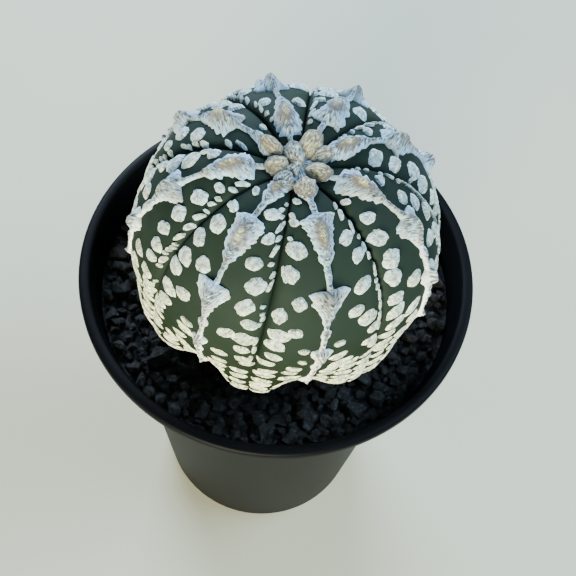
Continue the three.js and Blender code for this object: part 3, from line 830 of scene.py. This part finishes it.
def add_seam_flecks(bm, rib, side):
    """Small long flecks in a chain down the wall of a crease."""
    polar = CHAIN_START_ANGLE + CHAIN_START_STRAY * chance(rib, side, 5)
    index = 0
    while polar < CHAIN_END_ANGLE:
        index += 1
        length = CHAIN_LENGTH + CHAIN_LONGER * chance(rib, side, index, 6) ** CHAIN_LENGTH_POWER
        width = CHAIN_WIDTH + CHAIN_WIDER * chance(rib, side, index, 7)
        polar += length / MM_PER_DEGREE
        if chance(rib, side, index, 8) < CHAIN_SHARES[side]:
            inward = width + CHAIN_CLEARANCE + CHAIN_STRAY * chance(rib, side, index, 9)
            across = side * (crease_at(rib, side, polar) - inward)
            add_fleck(bm, rib, across, polar, width, length, 0, CHAIN_SIDES, CHAIN_SQUARENESS)
        polar += (length + CHAIN_GAP * chance(rib, side, index, 10) ** 2) / MM_PER_DEGREE


def make_flecks(material):
    bm = bmesh.new()
    bm.verts.layers.float.new("rim")
    bm.verts.layers.float_vector.new("weave")
    places = itertools.product(enumerate(fleck_rows()), RIBS, SIDES, range(FLECK_COLUMNS))
    for (row, row_angle), rib, side, column in places:
        fleck = fleck_at(rib, side, row, row_angle, column)
        if fleck:
            add_fleck(bm, *fleck)
    for rib, side in itertools.product(RIBS, SIDES):
        add_seam_flecks(bm, rib, side)
    bmesh.ops.recalc_face_normals(bm, faces=bm.faces)
    return finished("skin_flecks", bm, material, slot="wool")


def ragged_width(rib, edge, polar, half_width):
    """Half the width of the wool with the lobes and teeth of its edge on the side that is +1 or -1."""
    ragged = sum(
        height * noise.noise(Vector((polar * MM_PER_DEGREE / span, rib * rib_step, edge * edge_step)))
        for height, span, rib_step, edge_step in EDGE_NOISES
    )
    return max(WOOL_LEAST, half_width + ragged * min(half_width / RAGGED_WIDTH, 1))


def wool_lift(rib, polar, side, across, half_width, crest, out):
    """How high the top of the wool stands off the skin. Side runs from -1 at one edge of the arm to 1 at the
    other, and out from 0 in the middle of an oval to about 1 at its edge."""
    rise = 1 - abs(side) ** WOOL_ROUNDNESS
    neck = NECK_RISE + (1 - NECK_RISE) * smoothstep(half_width, *NECK_WIDTHS)
    lift = WOOL_EDGE + (along(WOOL_RIDGES, polar) * neck - WOOL_EDGE) * rise
    lift += crest * math.exp(-((across / CREST_WIDTH) ** 2))
    down = polar * MM_PER_DEGREE
    beside = abs(across)
    lump = noise.noise(Vector((down, across, rib * NOISE_STEP)) / LUMP_SPAN)
    crimp = noise.noise(Vector((down + beside, (beside - down) / CRIMP_DRAW, rib * NOISE_STEP)) / CRIMP_SPAN)
    lift += (WOOL_LUMP * lump + WOOL_CRIMP * crimp) * (EDGE_LUMPS + rise)
    return lift + OVAL_RISE * (1 - smoothstep(out, *OVAL_EDGE))


def add_arm(bm, rib):
    """An arm of wool down the middle of a rib, with ragged edges and a raised oval at each areole."""
    arm = bmesh.new()
    growth = arm.verts.layers.float_vector.new("growth")
    rim = arm.verts.layers.float.new("rim")
    weave = arm.verts.layers.float_vector.new("weave")
    bmesh.ops.create_uvsphere(arm, u_segments=ARM_STEPS, v_segments=ARM_STATIONS, radius=1)
    areoles = [areole(rib, index) for index in range(len(AREOLE_ANGLES) - 1)]
    for vert in arm.verts:
        share = angle_from_top(vert) / math.pi
        around = angle_round(vert)
        side = math.cos(around)
        polar = WOOL_START_ANGLE + (WOOL_END_ANGLE - WOOL_START_ANGLE) * share
        half_width, crest = wool_at(rib, polar)
        half_width = ragged_width(rib, 1 if side > 0 else -1, polar, half_width)
        ends = smoothstep(share, 0, ARM_ENDS[0]) * (1 - smoothstep(share, ARM_ENDS[1], 1))
        across = side * half_width * ends
        middle, size = min(areoles, key=lambda tuft: abs(tuft[0] - polar))
        past = (polar - middle) * MM_PER_DEGREE / (OVAL_LENGTH * size)
        beyond = across / (OVAL_WIDTH * size)
        if math.sin(around) >= UNDERSIDE:
            straw = along(STRAW_SHARES, middle)
            lift = wool_lift(rib, polar, side, across, half_width, crest, past * past + abs(beyond))
        else:
            straw = 0
            lift = WOOL_UNDER
        swept = along(BARB_SWEEPS, polar) * max(half_width - BARB_WIDTH, 0) * abs(side) ** BARB_POWER
        angle = max(polar - swept, LEAST_ANGLE)
        down = polar * MM_PER_DEGREE
        beside = abs(across)
        vert.co = skin(rib, phase_at(rib, across, angle), angle, lift)
        vert[growth] = Vector((past, beyond, straw))
        vert[rim] = abs(side) ** 2
        vert[weave] = Vector((down + beside, beside - down, rib * WEAVE_STEP)) * MM
    join(bm, arm)


def add_bud(bm, rib, polar, width, length, height, straw):
    """A bud of wool on the middle of a rib at the crown."""
    bud = bmesh.new()
    growth = bud.verts.layers.float_vector.new("growth")
    weave = bud.verts.layers.float_vector.new("weave")
    middle = skin(rib, 0, polar, height / 2)
    above = skin(rib, 0, max(polar - BUD_REACH, BUD_LEAST_ANGLE))
    down = (skin(rib, 0, polar + BUD_REACH) - above).normalized()
    across = (skin(rib, -BUD_PHASE, polar) - skin(rib, BUD_PHASE, polar)).normalized()
    out = across.cross(down)
    bmesh.ops.create_uvsphere(bud, u_segments=BUD_STEPS, v_segments=BUD_RINGS, radius=1)
    for vert in bud.verts:
        x, y, z = vert.co
        lump = noise.noise(vert.co * BUD_LUMPS + Vector((rib * BUD_NOISE_STEP, polar, 0)))
        fold = noise.noise(Vector((x * BUD_FOLDS[0], y * BUD_FOLDS[1], rib * NOISE_STEP)))
        swell = 1 + BUD_LUMP_DEPTH * lump + BUD_FOLD_DEPTH * fold
        vert[growth] = Vector((y * BUD_OVAL[0], x * BUD_OVAL[1], straw if z > 0 else 0))
        vert[weave] = Vector((x * width, y * length, z * height + rib * WEAVE_STEP)) * MM
        vert.co = middle + swell * (across * x * width + down * y * length + out * z * height)
    join(bm, bud)


def add_crown_pad(bm):
    """A mat of wool under the buds."""
    pad = bmesh.new()
    weave = pad.verts.layers.float_vector.new("weave")
    bmesh.ops.create_uvsphere(pad, u_segments=CROWN_STEPS, v_segments=CROWN_RINGS, radius=1)
    for vert in pad.verts:
        out = math.hypot(vert.co.x, vert.co.y)
        around = angle_round(vert)
        reach = CROWN_ANGLE * out * (1 + CROWN_RAGGED * noise.noise(vert.co * CROWN_LUMPS)) * MM_PER_DEGREE
        lift = WOOL_RIDGES[0][1] * vert.co.z if vert.co.z > 0 else WOOL_UNDER
        ray = Vector((math.cos(around), math.sin(around), 0))
        vert[weave] = Vector((math.degrees(around) / CROWN_WEAVE_TURN, reach, 0)) * MM
        vert.co = skin(0, 0, 0, lift) + ray * reach + Vector((0, 0, DIMPLE_RISE * out * out))
    join(bm, pad)


def make_star(material):
    bm = bmesh.new()
    bm.verts.layers.float_vector.new("growth")
    bm.verts.layers.float.new("rim")
    bm.verts.layers.float_vector.new("weave")
    add_crown_pad(bm)
    for rib in RIBS:
        add_arm(bm, rib)
    for bud in BUDS:
        add_bud(bm, *bud)
    bmesh.ops.recalc_face_normals(bm, faces=bm.faces)
    return finished("areole_wool_star", bm, material, slot="wool", nodes=("areole_star",))


def add_stone(bm, place, size, seed):
    """A crushed stone: a ball with flats cut on it."""
    stone = bmesh.new()
    tone = stone.verts.layers.float.new("tone")
    bmesh.ops.create_icosphere(stone, subdivisions=1, radius=1)
    flats = []
    for n in range(STONE_FLATS):
        flat = Vector([chance(seed, n, axis) - 0.5 for axis in (1, 2, 3)]).normalized()
        flats.append((flat, FLAT_OUT + FLAT_STRAY * chance(seed, n, 4)))
    broad = STONE_BREADTH + STONE_STRETCH * chance(seed, 5)
    thick = STONE_THICKNESS + STONE_STRETCH * chance(seed, 6)
    stretch = Vector((1, broad, thick)) * size / 2
    turn = Matrix.Rotation(math.tau * chance(seed, 7), 3, "Z")
    turn = turn @ Matrix.Rotation(STONE_TILT * (chance(seed, 8) - 0.5), 3, "X")
    shade = chance(seed, 9)
    for vert in stone.verts:
        point = vert.co * (BALL_SIZE + BALL_STRAY * chance(seed, vert.co.x, vert.co.y, vert.co.z))
        for flat, depth in flats:
            over = point.dot(flat) - depth
            if over > 0:
                point -= flat * over
        vert[tone] = shade
        vert.co = turn @ (point * stretch) * STONE_FILL + place
    join(bm, stone)


def make_gravel(material):
    bm = bmesh.new()
    bm.verts.layers.float.new("tone")
    spun(bm, BED_PROFILE, BED_STEPS)
    seed = 0
    for level, spacing, size, shift in STONE_LAYERS:
        radius = GRAVEL_OUTER_R - size / 2
        while radius > GRAVEL_INNER_R:
            count = int(math.tau * radius / spacing)
            for i in range(count):
                seed += 1
                turn = (i + shift + STONE_TURN_STRAY * chance(seed, 1)) * math.tau / count
                stone = size * (STONE_LEAST + STONE_MORE * chance(seed, 3) ** 2)
                out = radius - STONE_INWARD * spacing * chance(seed, 2)
                out = min(out, GRAVEL_OUTER_R - STONE_CLEARANCE * stone)
                z = GRAVEL_TOP - STONE_SINK + level + STONE_BOUNCE * (chance(seed, 4) - 0.5)
                add_stone(bm, Vector((out * math.cos(turn), out * math.sin(turn), z)), stone, seed)
            radius -= spacing * STONE_ROW_STEP
    return finished("gravel_stones", bm, material, smooth=False, slot="gravel", nodes=("gravel",))


def make_floor(material):
    bm = bmesh.new()
    bmesh.ops.create_grid(bm, x_segments=1, y_segments=1, size=FLOOR_REACH)
    floor = finished("floor", bm, material)
    return floor


def set_camera():
    """Looks down on the plant from the photograph's angle."""
    camera = bpy.data.cameras.new("camera")
    camera.lens = CAMERA_LENS
    camera.sensor_width = CAMERA_SENSOR
    camera.clip_start = CAMERA_NEAREST
    holder = bpy.data.objects.new("camera", camera)
    turn = Matrix((CAMERA_RIGHT, CAMERA_UP, CAMERA_BACK)).transposed()
    holder.matrix_world = Matrix.Translation(CAMERA_PLACE) @ turn.to_4x4()
    bpy.context.scene.collection.objects.link(holder)
    bpy.context.scene.camera = holder


def set_lights():
    """Soft studio light: a dim bluish room, two windows and a warmer lamp in front."""
    world = bpy.data.worlds.new("studio")
    world.use_nodes = True
    room = world.node_tree.nodes["Background"]
    room.inputs["Color"].default_value = linear(ROOM_COLOUR)
    room.inputs["Strength"].default_value = ROOM_STRENGTH
    bpy.context.scene.world = world
    for name, place, size, energy, code in LIGHTS:
        light = bpy.data.lights.new(name, "AREA")
        light.shape = "DISK"
        light.size = size
        light.energy = energy
        light.color = linear(code)[:3]
        lamp = bpy.data.objects.new(name, light)
        lamp.location = place
        lamp.rotation_euler = (LIGHT_AIM - Vector(place)).to_track_quat("-Z", "Y").to_euler()
        bpy.context.scene.collection.objects.link(lamp)


set_camera()
set_lights()
make_floor(pale_board())
make_pot(moulded_polypropylene())
make_gravel(crushed_lava())
make_skin(waxy_epidermis())
make_flecks(fleck_felt())
make_star(areole_wool())
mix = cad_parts["potting_mix"]
mix.data.materials.clear()
mix.data.materials.append(peat_mix())
